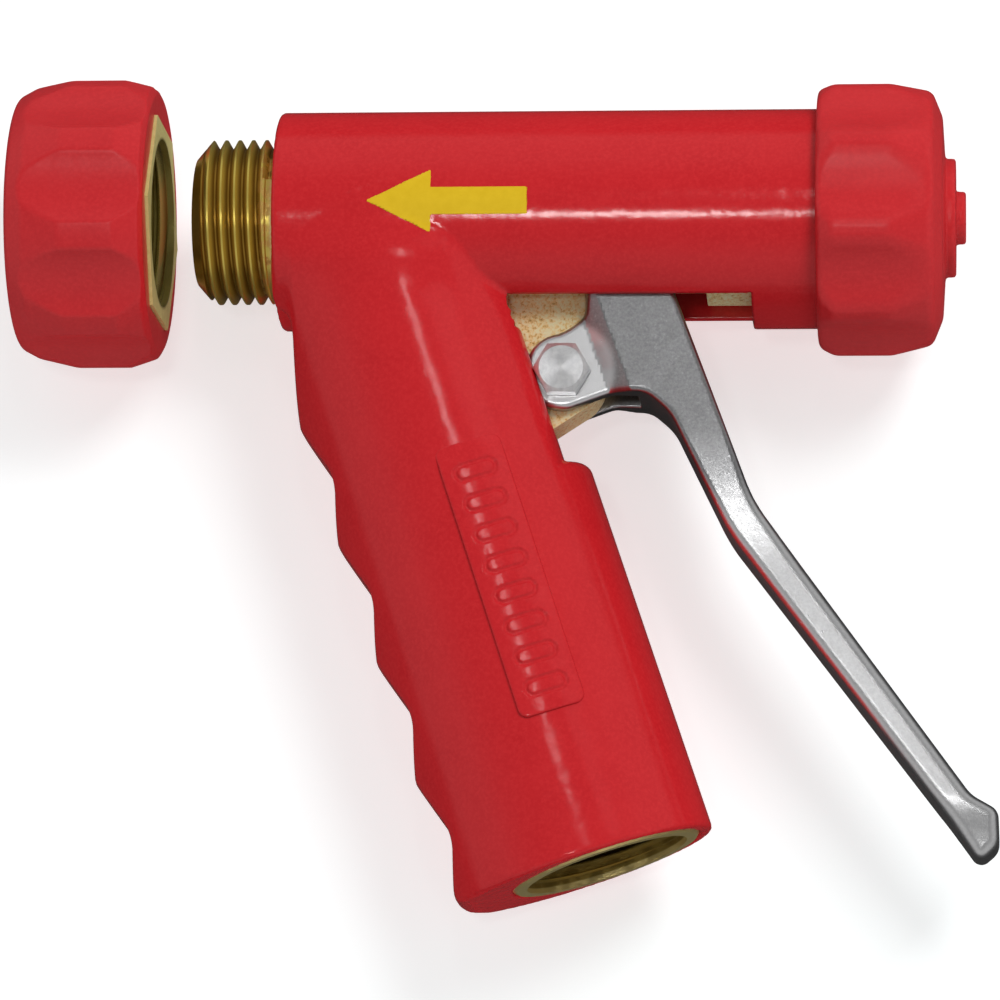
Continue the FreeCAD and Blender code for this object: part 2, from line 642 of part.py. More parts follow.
def return_spring():
    """Closed coil from the thrust washer to the rear cap."""
    body = new_body("return_spring")
    sketch = new_sketch(body, "spring_wire_section")
    start = f"{THRUST} + washer_thick + spring_wire + 0.05"
    draw_circle(sketch, start, "spring_mean", "spring_wire")
    helix = body.newObject("PartDesign::AdditiveHelix", "spring_helix")
    helix.Profile = sketch
    helix.ReferenceAxis = (sketch, ["H_Axis"])
    helix.Mode = "height-turns-angle"
    length = f"barrel_rear + gasket_thick - spring_wire - 0.05 - ({start})"
    bind(helix, Height=length, Turns="spring_turns")
    helix.Angle = 0
    doc.recompute()
    return piece("return_spring", body)


def packing():
    """Gland washer, packing rings and the gland nut that squeezes them round the stem."""
    piece("gland_washer", turned("gland_washer", [
        ("chamber_rear + 0.4", "stem_radius + stem_play"), ("chamber_rear + 0.4", "packing_radius"),
        ("chamber_rear + 1.6", "packing_radius"), ("chamber_rear + 1.6", "stem_radius + stem_play")]))
    for index, name in enumerate(("packing_ring_front", "packing_ring_middle", "packing_ring_rear")):
        start = f"chamber_rear + 1.6 + {index} * packing_ring"
        piece(name, turned(name, [
            (start, "stem_radius + stem_play"), (f"{start}", "packing_radius"),
            (f"{start} + packing_ring", "packing_radius"),
            (f"{start} + packing_ring", "stem_radius + stem_play")]))
    end = "chamber_rear + 1.6 + 3 * packing_ring"
    plug = turned("gland_plug", [
        (end, "0"), (end, "packing_radius"), ("spring_bore_front", "packing_radius"),
        ("spring_bore_front", "0")])
    head = hex_nut("gland_head_blank", "gland_flats", "gland_head", "stem_radius + stem_play",
                   "spring_bore_front")
    bore = turned("gland_bore", [
        (f"{end} - 1", "0"), (f"{end} - 1", "stem_radius + stem_play"),
        ("spring_bore_front + 10", "stem_radius + stem_play"), ("spring_bore_front + 10", "0")])
    whole = combine("Fuse", "gland_whole", plug, head)
    piece("gland_nut", combine("Cut", "gland_nut", whole, bore))


# --- rear cap and bumper -------------------------------------------------------------------------

def rear_cap():
    return piece("rear_cap", turned("rear_cap", [
        ("cap_front", "barrel_radius"), ("cap_front", "cap_radius"), ("cap_rear - 1", "cap_radius"),
        ("cap_rear", "cap_radius - 1"), ("cap_rear", "0"), ("barrel_rear + gasket_thick", "0"),
        ("barrel_rear + gasket_thick", "barrel_radius")]))


def rear_gasket():
    return piece("rear_gasket", turned("rear_gasket", [
        ("barrel_rear", "spring_bore"), ("barrel_rear", "barrel_radius"),
        ("barrel_rear + gasket_thick", "barrel_radius"), ("barrel_rear + gasket_thick", "spring_bore")]))


def cut_scoops(body, name, radius):
    """Shallow scoops round a ring, for grip."""
    reach = f"({radius} + scoop_radius - scoop_depth)"
    circle = (f"{reach} * sin(scoop_phase * 1deg)", f"{reach} * cos(scoop_phase * 1deg)", "scoop_radius")
    polar_pocket(body, name, circle, "scoop_count")


def rear_bumper():
    body = turned("rear_bumper", [
        ("bumper_front", "cover_radius"), ("bumper_front", "bumper_radius - 2.6"),
        ("bumper_front + 4.4", "bumper_radius"), ("bumper_rear - 8.8", "bumper_radius"),
        ("bumper_rear - 2.2", "bumper_radius - 2"), ("bumper_rear - 0.7", "bumper_radius - 6"),
        ("bumper_rear", "bumper_button + 1"), ("bumper_rear", "bumper_button"),
        ("bumper_rear + 1.7", "bumper_button"),
        ("bumper_rear + 1.7", "bumper_pip"), ("bumper_rear + 3.4", "bumper_pip"),
        ("bumper_rear + 3.4", "0"), ("cap_rear", "0"), ("cap_rear", "cap_radius - 1"),
        ("cap_rear - 1", "cap_radius"), ("cap_front", "cap_radius"), ("cap_front", "barrel_radius"),
        ("cover_rear", "barrel_radius"), ("cover_rear", "cover_radius")])
    cut_scoops(body, "bumper_scoops", "bumper_radius")
    return piece("rear_bumper", body)


# --- ring ----------------------------------------------------------------------------------------

def ring_nut():
    blank = hex_nut("ring_nut_blank", "nut_flats", "nut_rear - nut_front", "nut_bore", "nut_front")
    washer_end = "nut_floor + hose_washer"
    bore = turned("ring_nut_bore", [
        ("nut_floor", "0"), ("nut_floor", "outlet_crest + screw_clearance"),
        (f"{washer_end} + 0.6", "outlet_crest + screw_clearance"),
        (f"{washer_end} + 0.6", "outlet_crest - outlet_depth + screw_clearance"),
        ("nut_rear - 2.2", "outlet_crest - outlet_depth + screw_clearance"),
        ("nut_rear - 1.0", "outlet_crest + screw_clearance"),
        ("nut_rear + 0.3", "outlet_crest + screw_clearance"),
        ("nut_rear + 2", "outlet_crest + screw_clearance"), ("nut_rear + 2", "0")])
    half_tip = "outlet_land / 2"
    half_base = f"outlet_land / 2 + (outlet_depth + {OVERCUT}) * {SLOPE:.6f}"
    centre = "outlet_start + outlet_pitch * (0.5 - 9)"
    tooth = tooth_outline(centre, f"outlet_crest - outlet_depth + screw_clearance - {OVERCUT}",
                          "outlet_crest + screw_clearance", half_base, half_tip)
    groove = thread_tool("ring_groove", tooth, "outlet_pitch", "7")
    bored = combine("Cut", "ring_nut_bored", blank, bore)
    return piece("ring_nut", combine("Cut", "ring_nut", bored, groove))


def ring_washer():
    return piece("ring_washer", turned("ring_washer", [
        ("nut_floor + 0.05", "nut_bore"), ("nut_floor + 0.05", "outlet_crest - 0.2"),
        ("nut_floor + hose_washer", "outlet_crest - 0.2"), ("nut_floor + hose_washer", "nut_bore")]))


def ring_cover():
    body = turned("ring_cover_outside", [
        ("ring_front", "0"), ("ring_front", "ring_radius - 3.6"),
        ("ring_front + 0.5", "ring_radius - 2.8"), ("ring_front + 3", "ring_radius - 1.6"),
        ("ring_front + 9.4", "ring_radius"), ("ring_rear - 4.5", "ring_radius"),
        ("ring_rear - 0.7", "ring_radius - 0.9"), ("ring_rear", "ring_radius - 1.7"),
        ("ring_rear", "0")])
    cut_scoops(body, "ring_scoops", "ring_radius")
    pocket = hex_nut("ring_pocket", "nut_flats", "nut_rear - nut_front + 2", "0.01", "nut_front")
    mouth = turned("ring_mouth", [
        ("ring_front - 1", "0"), ("ring_front - 1", "outlet_crest"), ("nut_rear + 2", "outlet_crest"),
        ("nut_rear + 2", "0")])
    return piece("ring_cover", combine("Cut", "ring_cover", body, pocket, mouth))


# --- build, check and write ----------------------------------------------------------------------

outside = casting_outside()
body_casting(outside)
rubber_cover(outside)
lever()
pivot_bolt()
pivot_nut()
valve_stem()
valve_disc()
spray_plug()
thrust_washer()
stem_nuts()
return_spring()
packing()
rear_cap()
rear_gasket()
rear_bumper()
ring_nut()
ring_washer()
ring_cover()
doc.recompute()

for thing in doc.Objects:
    if "Invalid" in thing.State or "Error" in thing.State:
        raise RuntimeError(f"{thing.Label} failed: {thing.State}")

os.makedirs("parts", exist_ok=True)
for label, thing in PIECES.items():
    shape = thing.Shape
    if shape.isNull() or not shape.isValid() or not shape.Solids:
        raise RuntimeError(label + " has no valid shape")
    shape.exportStep(f"parts/{label}.step")
    print(f"{label}: {len(shape.Solids)} solid, {shape.Volume:.0f} mm3")
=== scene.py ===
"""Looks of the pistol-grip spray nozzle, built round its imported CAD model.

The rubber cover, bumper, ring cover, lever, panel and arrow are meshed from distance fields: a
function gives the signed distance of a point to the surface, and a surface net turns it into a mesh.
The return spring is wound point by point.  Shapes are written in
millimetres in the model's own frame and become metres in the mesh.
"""

import math

import bmesh
import bpy
import numpy as np
from mathutils import Matrix, Vector


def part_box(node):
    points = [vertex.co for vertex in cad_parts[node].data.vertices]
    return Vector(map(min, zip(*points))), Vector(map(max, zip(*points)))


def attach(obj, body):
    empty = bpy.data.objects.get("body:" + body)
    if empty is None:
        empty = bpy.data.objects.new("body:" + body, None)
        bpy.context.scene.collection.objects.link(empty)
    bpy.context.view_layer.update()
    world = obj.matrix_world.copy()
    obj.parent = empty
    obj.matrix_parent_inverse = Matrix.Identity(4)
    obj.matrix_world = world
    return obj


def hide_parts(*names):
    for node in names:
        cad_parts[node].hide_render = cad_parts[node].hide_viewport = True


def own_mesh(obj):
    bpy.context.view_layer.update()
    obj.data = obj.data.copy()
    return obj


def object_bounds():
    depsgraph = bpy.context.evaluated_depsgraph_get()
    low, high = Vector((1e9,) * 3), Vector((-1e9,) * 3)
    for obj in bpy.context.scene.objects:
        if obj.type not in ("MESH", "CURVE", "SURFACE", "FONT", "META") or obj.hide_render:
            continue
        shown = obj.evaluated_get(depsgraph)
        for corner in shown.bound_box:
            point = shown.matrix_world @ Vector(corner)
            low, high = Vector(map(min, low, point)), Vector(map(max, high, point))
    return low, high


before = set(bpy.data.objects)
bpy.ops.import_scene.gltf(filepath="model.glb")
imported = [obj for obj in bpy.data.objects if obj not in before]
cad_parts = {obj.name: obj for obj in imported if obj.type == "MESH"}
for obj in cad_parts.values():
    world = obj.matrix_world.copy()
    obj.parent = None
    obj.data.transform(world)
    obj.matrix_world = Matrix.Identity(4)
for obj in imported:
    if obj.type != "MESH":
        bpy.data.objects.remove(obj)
CAD_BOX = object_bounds()
MM = 0.001

# Barrel and cover, as in the CAD model: radii, and places along the barrel.
BARREL = 17.86
BRASS_BARREL = 14.0
COVER_FRONT = 6.8
COVER_REAR = 95.4
SLOT_FRONT = 44.4
SLOT_REAR = 83.8
SLOT_HALF = 10.0
SLOT_TOP = -4
SLOT_FLOOR = -19.9

# The brass inside the grip: radii, the boss's top down the grip, and half the lug's thickness.
GRIP_TUBE = 12.0
INLET_BOSS = 15.65
BOSS_TOP = 86.5
LUG_HALF = 4.2

# Grip, measured from its own axis and down it.
GRIP_ORIGIN = 25.4
GRIP_RAKE = math.radians(18.6)
GRIP_BOTTOM = 111.4
GRIP_HALF = 17.9
GRIP_BACK = 17.8
GRIP_TAPER = 0.35
GRIP_FRONT = 25.5
FIRST_CUSP = 28.4
FINGER_PITCH = 20.4
FINGER_RISE = 0.32
FINGER_FALL = 0.36
HEEL_FLAT = 13.8
HEEL_LENGTH = 48.5

# Lever, stem and spring.
PIVOT = (53.4, -26.7)
PIVOT_HOLE = 2.56
BOLT_ROOM = 6.8
BOLT_ROOM_HALF = 7.6
EAR_HALF = 7.0
HEAD_HALF = 9.2
NECK_HALF = 8.2
FORK_HALF = 4.45
SPRING_WIRE = 0.7
SPRING_MEAN = 8.0
SPRING_TURNS = 6

# Knobs: crown radii, the nut inside the ring, and the scoops cut round both.
RING_CROWN = 23.67
RING_MOUTH = 12.9
NUT_FLATS = 31.75
NUT_FRONT = -34.2
BUMPER_CROWN = 22.27
SCOOPS = 9
SCOOP_RADIUS = 18.0
SCOOP_DEPTH = 1.8
SCOOP_PHASE = math.radians(1.7)

# Plain lozenges on the grip's panel.
LOZENGES = 8
LOZENGE_PITCH = 5.2
FIRST_LOZENGE = 47.5


# --- distance fields -----------------------------------------------------------------------------

def round_max(a, b, radius):
    """What two shapes share, with their meeting edge rounded."""
    outside = np.hypot(np.maximum(a + radius, 0), np.maximum(b + radius, 0))
    return np.minimum(np.maximum(a, b), -radius) + outside


def smooth_min(a, b, reach):
    """Two shapes joined by a fillet of about the given reach."""
    share = np.maximum(reach - np.abs(a - b), 0) / reach
    return np.minimum(a, b) - share * share * reach / 4


def smooth_step(value, low, high):
    """Nought below low, one above high, and smooth between."""
    share = np.clip((value - low) / (high - low), 0, 1)
    return share * share * (3 - 2 * share)


def ellipse(across, up, half_across, half_up):
    """Distance to an ellipse, close enough near its edge."""
    reach = np.hypot(across / half_across, up / half_up)
    slope = np.hypot(across / half_across ** 2, up / half_up ** 2)
    return reach * (reach - 1) / np.maximum(slope, 1e-6)


def rounded(corners, steps=7):
    """A closed outline from (x, y, radius) corners, each replaced by its arc."""
    outline = []
    count = len(corners)
    for index, (x, y, radius) in enumerate(corners):
        here = np.array((x, y), float)
        before = np.array(corners[index - 1][:2], float) - here
        after = np.array(corners[(index + 1) % count][:2], float) - here
        if radius <= 0:
            outline.append(here)
            continue
        before /= np.linalg.norm(before)
        after /= np.linalg.norm(after)
        half_angle = math.acos(np.clip(before @ after, -1, 1)) / 2
        inward = (before + after) / np.linalg.norm(before + after)
        centre = here + inward * radius / math.sin(half_angle)
        start = here + before * radius / math.tan(half_angle) - centre
        end = here + after * radius / math.tan(half_angle) - centre
        for step in range(steps + 1):
            mid = start * (1 - step / steps) + end * step / steps
            outline.append(centre + mid * radius / np.linalg.norm(mid))
    return np.array(outline)


def polygon(outline, across, up):
    """Signed distance of points to a closed outline."""
    nearest = np.full(across.shape, 1e9)
    inside = np.zeros(across.shape, bool)
    for (x0, y0), (x1, y1) in zip(outline, np.roll(outline, -1, axis=0)):
        along_x, along_y = x1 - x0, y1 - y0
        length = along_x ** 2 + along_y ** 2
        if length < 1e-12:
            continue
        share = np.clip(((across - x0) * along_x + (up - y0) * along_y) / length, 0, 1)
        gap = (across - x0 - share * along_x) ** 2 + (up - y0 - share * along_y) ** 2
        nearest = np.minimum(nearest, gap)
        if y0 != y1:
            crosses = (y0 > up) != (y1 > up)
            inside ^= crosses & (across < x0 + (up - y0) * along_x / along_y)
    return np.sqrt(nearest) * np.where(inside, -1, 1)


def grip_frame(point):
    """Across and down the grip, from the CAD model's grip frame."""
    x = point[:, 0] - GRIP_ORIGIN
    y = point[:, 1]
    across = x * math.cos(GRIP_RAKE) + y * math.sin(GRIP_RAKE)
    down = x * math.sin(GRIP_RAKE) - y * math.cos(GRIP_RAKE)
    return across, down


def finger_profile():
    """Front of the grip against the distance down it: four grooves between five cusps."""
    down = np.arange(-10, 130, 0.1)
    past = (down - FIRST_CUSP) % FINGER_PITCH
    depth = smooth_min(FINGER_RISE * past, FINGER_FALL * (FINGER_PITCH - past), 1.8)
    depth[down > FIRST_CUSP + 4 * FINGER_PITCH] = 0
    lean = 0.4 * smooth_step(down, FIRST_CUSP, GRIP_BOTTOM)
    lip = 3.2
    under = np.clip(down - (GRIP_BOTTOM - lip), 0, lip)
    depth += lip - np.sqrt(lip ** 2 - under ** 2)
    front = -GRIP_FRONT + depth + lean
    above = -GRIP_FRONT + 0.3046 * (FIRST_CUSP - down)
    front = np.where(down < FIRST_CUSP, above, front)
    soften = np.ones(5) / 5
    return down, np.convolve(front, soften, "same")


FINGER_DOWN, FINGER_FRONT = finger_profile()
FINGER_SLOPE = np.gradient(FINGER_FRONT, FINGER_DOWN)
LUG_OUTLINE = np.array([
    (36, -9), (57.4, -9), (58.8, -18), (59.9, -26.7), (56.7, -32.4), (49.4, -37.2), (40, -42.7)])


def casting_field(point):
    """The brass inside the cover: barrel, grip tube, inlet boss and lug."""
    across, down = grip_frame(point)
    x, y, z = point.T
    barrel = np.hypot(y, z) - BRASS_BARREL
    from_axis = np.hypot(across, z)
    tube = np.maximum(from_axis - GRIP_TUBE, -down)
    boss = np.maximum(from_axis - INLET_BOSS, BOSS_TOP - down)
    lug = np.maximum(np.abs(z) - LUG_HALF, polygon(LUG_OUTLINE, x, y))
    return np.minimum(np.minimum(barrel, tube), np.minimum(boss, lug))


def grip_field(point):
    """The covered grip: an oval section, cut by the finger grooves and the heel."""
    across, down = grip_frame(point)
    z = point[:, 2]
    back = GRIP_BACK - GRIP_TAPER * (GRIP_BOTTOM - down) / 60
    half = GRIP_HALF - 0.3 * (1 - smooth_step(down, 0, 12))
    section = ellipse(across - (back - GRIP_FRONT) / 2, z, (back + GRIP_FRONT) / 2, half)
    front = np.interp(down, FINGER_DOWN, FINGER_FRONT) - across
    front /= np.sqrt(1 + np.interp(down, FINGER_DOWN, FINGER_SLOPE) ** 2)
    heel = np.maximum(HEEL_FLAT - across, down - HEEL_LENGTH)
    grip = round_max(section, front, 0.8)
    grip = round_max(grip, -heel, 1.0 + 0.8 * smooth_step(down, 42, 46))
    return np.maximum(round_max(grip, down - GRIP_BOTTOM, 0.7), -2 - down)


def cover_skin(point):
    """Outside of the rubber cover."""
    x, y, z = point.T
    barrel = round_max(np.hypot(y, z) - BARREL, np.maximum(COVER_FRONT - x, x - COVER_REAR), 0.8)
    across = grip_frame(point)[0]
    reach = (0.8 + 5.0 * smooth_step(np.abs(z), 4, 10) * smooth_step(-y, 2, 11)
             * smooth_step(-across, -11, -6))
    return smooth_min(barrel, grip_field(point), reach)


def cover_field(point):
    """The cover, hollowed for the brass, the lever's slot and the pivot bolt."""
    x, y, z = point.T
    slot = np.maximum(np.maximum(SLOT_FRONT - x, x - SLOT_REAR),
                      np.maximum(np.abs(z) - SLOT_HALF, y - SLOT_TOP))
    slot = np.maximum(slot, SLOT_FLOOR - y)
    bolt_room = np.maximum(np.hypot(x - PIVOT[0], y - PIVOT[1]) - BOLT_ROOM, np.abs(z) - BOLT_ROOM_HALF)
    hollow = np.minimum(casting_field(point), np.minimum(slot, bolt_room))
    return round_max(cover_skin(point), -hollow, 0.3)


def scooped(point, skin, crown, edge):
    """Cuts the scoops round a knob."""
    y, z = point[:, 1], point[:, 2]
    pitch = 2 * math.pi / SCOOPS
    turn = np.arctan2(y, z) - SCOOP_PHASE
    turn -= pitch * np.round(turn / pitch)
    radius = np.hypot(y, z)
    out = radius * np.cos(turn) - (crown + SCOOP_RADIUS - SCOOP_DEPTH)
    scoop = np.hypot(radius * np.sin(turn), out) - SCOOP_RADIUS
    return round_max(skin, -scoop, edge)


RING_OUTLINE = rounded([
    (-36.2, RING_MOUTH, 0.3), (-36.2, 20.6, 1.6), (-33.2, 22.2, 3), (-27.0, RING_CROWN, 5),
    (-18.3, RING_CROWN, 0.8), (-14.2, 22.3, 0.6), (-13.5, 21.0, 0.6), (-13.5, 8, 0),
    (NUT_FRONT, 8, 0), (NUT_FRONT, RING_MOUTH, 0)])
BUMPER_OUTLINE = rounded([
    (94.3, 16, 0), (94.3, 20.9, 1.8), (96.9, BUMPER_CROWN, 3.5), (106.2, BUMPER_CROWN, 5),
    (112.8, 20.6, 2.2),
    (114.5, 16.4, 4), (114.9, 9.63, 0.4), (116.6, 9.63, 0.5), (116.6, 4.28, 0.3), (118.2, 4.28, 0.5),
    (118.2, -20, 0), (94.3, -20, 0)])


def hexagon_field(point, flats):
    """Distance to a hexagonal prism along X with flats facing up and down the grip."""
    angle = np.arctan2(point[:, 2], point[:, 1])
    sector = math.pi / 3
    angle = angle - sector * np.round(angle / sector)
    return np.hypot(point[:, 1], point[:, 2]) * np.cos(angle) - flats / 2


def ring_field(point):
    """The ring's rubber, round a pocket for the nut."""
    radius = np.hypot(point[:, 1], point[:, 2])
    skin = polygon(RING_OUTLINE, point[:, 0], radius)
    skin = scooped(point, skin, RING_CROWN, 0.2)
    pocket = np.maximum(hexagon_field(point, NUT_FLATS), NUT_FRONT - point[:, 0])
    mouth = radius - RING_MOUTH
    return round_max(skin, -np.minimum(pocket, mouth), 0.25)


def bumper_field(point):
    """The rear knob, hollow for the barrel's end and its cap."""
    radius = np.hypot(point[:, 1], point[:, 2])
    skin = polygon(BUMPER_OUTLINE, point[:, 0], radius)
    skin = scooped(point, skin, BUMPER_CROWN, 0.8)
    hollow = np.maximum(radius - BARREL, point[:, 0] - COVER_REAR)
    hollow = np.minimum(hollow, np.maximum(radius - 17.0, point[:, 0] - 112))
    return round_max(skin, -hollow, 0.2)


LEVER_OUTLINE = rounded([
    (59.4, 3, 2.9), (65.4, 3, 2.9), (65.4, -10.6, 1), (70.6, -11.8, 3), (84.2, -47.8, 24),
    (118.9, -95.2, 6), (123.2, -97.6, 2.2), (123.4, -103.2, 2.8), (120.2, -106.0, 1.6),
    (115.4, -99.2, 2), (80.2, -53.0, 30), (70.9, -33.8, 9), (67.0, -30.4, 4.5), (61.4, -30.2, 6),
    (57.8, -31.5, 3), (54.2, -32.8, 4), (47.4, -32.7, 5.8), (47.4, -20.7, 5.8), (53.4, -20.3, 6),
    (56.9, -17.6, 2.5), (57.2, -11.8, 1), (59.4, -10.2, 1)])


def lever_field(point):
    """The forged lever: thin ears, a broad forked head, and an arm that thins towards its knob."""
    x, y, z = point.T
    side = polygon(LEVER_OUTLINE, x, y)
    bevel = ((x - 56.6) * 0.939 + (y + 17.9) * 0.343) / 3.3
    head = EAR_HALF + 2.2 * np.clip(bevel, 0, 1)
    arm = (HEAD_HALF - 2.0 * smooth_step(-y, 34, 60) - 0.2 * smooth_step(-y, 60, 95)
           - 1.8 * smooth_step(-y, 95, 105))
    neck = np.where(y > -9.9, NECK_HALF, HEAD_HALF)
    half = np.minimum(np.minimum(head, arm), neck)
    edge = 0.9 + 0.9 * smooth_step(-y, 36, 60)
    body = round_max(side, np.abs(z) - half, edge)
    fork = np.maximum(np.abs(z) - FORK_HALF, x - 67.5 + 0.2 * np.maximum(-20 - y, 0))
    hole = np.hypot(x - PIVOT[0], y - PIVOT[1]) - PIVOT_HOLE
    return round_max(body, -np.minimum(fork, hole), 0.3)


PANEL_OUTLINE = rounded([(-5.5, 42.3, 1.5), (5.3, 42.3, 1.5), (5.3, 88.2, 1.6), (-5.5, 88.2, 1.6)])


def panel_field(point):
    """Raised panel on the grip's flank, engraved with a row of plain lozenges."""
    across, down = grip_frame(point)
    edge = polygon(PANEL_OUTLINE, across, down)
    height = 0.55 * smooth_step(down, 41.5, 47)
    past = down - FIRST_LOZENGE
    step = past - LOZENGE_PITCH * np.clip(np.round(past / LOZENGE_PITCH), 0, LOZENGES - 1)
    lozenge = np.hypot(np.maximum(np.abs(across) - 2.0, 0), step) - 1.25
    groove = 0.28 * (1 - smooth_step(np.abs(lozenge), 0.1, 0.5))
    skin = grip_field(point)
    return round_max(np.maximum(skin - height + groove, -skin - 1.2), edge, 0.3)


ARROW_OUTLINE = np.array([
    (22.1, -0.9), (32.7, 4.4), (32.7, 1.4), (48.2, 1.4), (48.2, -3.2), (32.7, -3.2), (32.7, -6.2)])


def arrow_field(point):
    """Painted arrow: a thin layer on the cover that shows which way the water goes."""
    skin = cover_skin(point)
    return np.maximum(np.maximum(skin - 0.1, -skin - 0.7), polygon(ARROW_OUTLINE, *point.T[:2]))


# --- meshing -------------------------------------------------------------------------------------

def gradient(field, point, step=0.02):
    """Slope of a field at each point, from four samples round it."""
    corners = np.array([(1, 1, 1), (1, -1, -1), (-1, 1, -1), (-1, -1, 1)], float)
    total = sum(corner * field(point + corner * step)[:, None] for corner in corners)
    return total / (4 * step)


def surface_net(field, low, high, cell):
    """Vertices and quads of the surface where a distance field is zero."""
    low = np.array(low, float)
    counts = np.ceil((np.array(high, float) - low) / cell).astype(int) + 1
    corner = np.indices(counts).reshape(3, -1).T
    values = field(low + corner * cell).reshape(counts)
    cells = tuple(counts - 1)
    total = np.zeros(cells + (3,))
    hits = np.zeros(cells)
    crossings = []
    for axis in range(3):
        step = np.eye(3, dtype=int)[axis]
        start = values[tuple(slice(0, n - s) for n, s in zip(counts, step))]
        end = values[tuple(slice(s, n) for n, s in zip(counts, step))]
        found = np.argwhere((start < 0) != (end < 0))
        first, last = start[tuple(found.T)], end[tuple(found.T)]
        place = found + step * (first / (first - last))[:, None]
        beside, above = np.eye(3, dtype=int)[(axis + 1) % 3], np.eye(3, dtype=int)[(axis + 2) % 3]
        around = [found - beside - above, found - above, found, found - beside]
        for cell_index in around:
            np.add.at(total, tuple(cell_index.T), place)
            np.add.at(hits, tuple(cell_index.T), 1)
        crossings.append((around, first < 0))
    number = np.full(cells, -1)
    used = hits > 0
    number[used] = np.arange(used.sum())
    vertices = low + total[used] / hits[used][:, None] * cell
    quads = []
    for around, outward in crossings:
        faces = np.stack([number[tuple(index.T)] for index in around], axis=1)
        faces[~outward] = faces[~outward][:, ::-1]
        quads.append(faces)
    return vertices, np.concatenate(quads)


def add_piece(name, mesh, material, body, replaces=()):
    """An object for a finished mesh, riding on its body."""
    mesh.shade_smooth()
    mesh.materials.append(material)
    piece = bpy.data.objects.new(name, mesh)
    bpy.context.scene.collection.objects.link(piece)
    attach(piece, body)
    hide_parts(*replaces)
    return piece


def field_mesh(name, field, low, high, cell, material, body, replaces=()):
    """A piece meshed from a distance field, with the field's own normals."""
    vertices, quads = surface_net(field, low, high, cell)
    for _ in range(3):
        slope = gradient(field, vertices)
        steep = np.maximum((slope ** 2).sum(1), 0.05)
        move = slope * (field(vertices) / steep)[:, None]
        vertices -= np.clip(move, -cell / 2, cell / 2)
    normals = gradient(field, vertices)
    normals /= np.maximum(np.linalg.norm(normals, axis=1), 1e-9)[:, None]
    mesh = bpy.data.meshes.new(name)
    mesh.from_pydata((vertices * MM).tolist(), [], quads.tolist())
    piece = add_piece(name, mesh, material, body, replaces)
    mesh.normals_split_custom_set_from_vertices(normals.tolist())
    return piece


def return_spring(material):
    """Wound wire between the thrust washer and the cap."""
    steps, sides = 48, 14
    front, rear = (corner.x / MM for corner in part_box("return_spring"))
    step = np.arange(SPRING_TURNS * steps + 1)
    share = step / step[-1]
    turn = 2 * np.pi * SPRING_TURNS * share
    along = front + SPRING_WIRE + (rear - front - 2 * SPRING_WIRE) * share
    centre = np.stack([along, SPRING_MEAN * np.cos(turn), SPRING_MEAN * np.sin(turn)], axis=1)
    outward = np.stack([np.zeros_like(turn), np.cos(turn), np.sin(turn)], axis=1)
    angle = 2 * np.pi * np.arange(sides) / sides
    rings = centre[:, None] + SPRING_WIRE * (np.cos(angle)[None, :, None] * outward[:, None]
                                             + np.sin(angle)[None, :, None] * np.array([1.0, 0, 0]))
    last = step[-1] * sides
    faces = []
    for start in range(0, last, sides):
        for side in range(sides):
            after = (side + 1) % sides
            faces.append((start + side, start + sides + side, start + sides + after, start + after))
    faces += [tuple(range(sides)), tuple(reversed(range(last, last + sides)))]
    mesh = bpy.data.meshes.new("spring")
    mesh.from_pydata((rings.reshape(-1, 3) * MM).tolist(), [], faces)
    solid = bmesh.new()
    solid.from_mesh(mesh)
    bmesh.ops.recalc_face_normals(solid, faces=solid.faces)
    solid.to_mesh(mesh)
    solid.free()
    piece = add_piece("spring", mesh, material, "root", ["return_spring"])
    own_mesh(piece)


# --- materials -----------------------------------------------------------------------------------

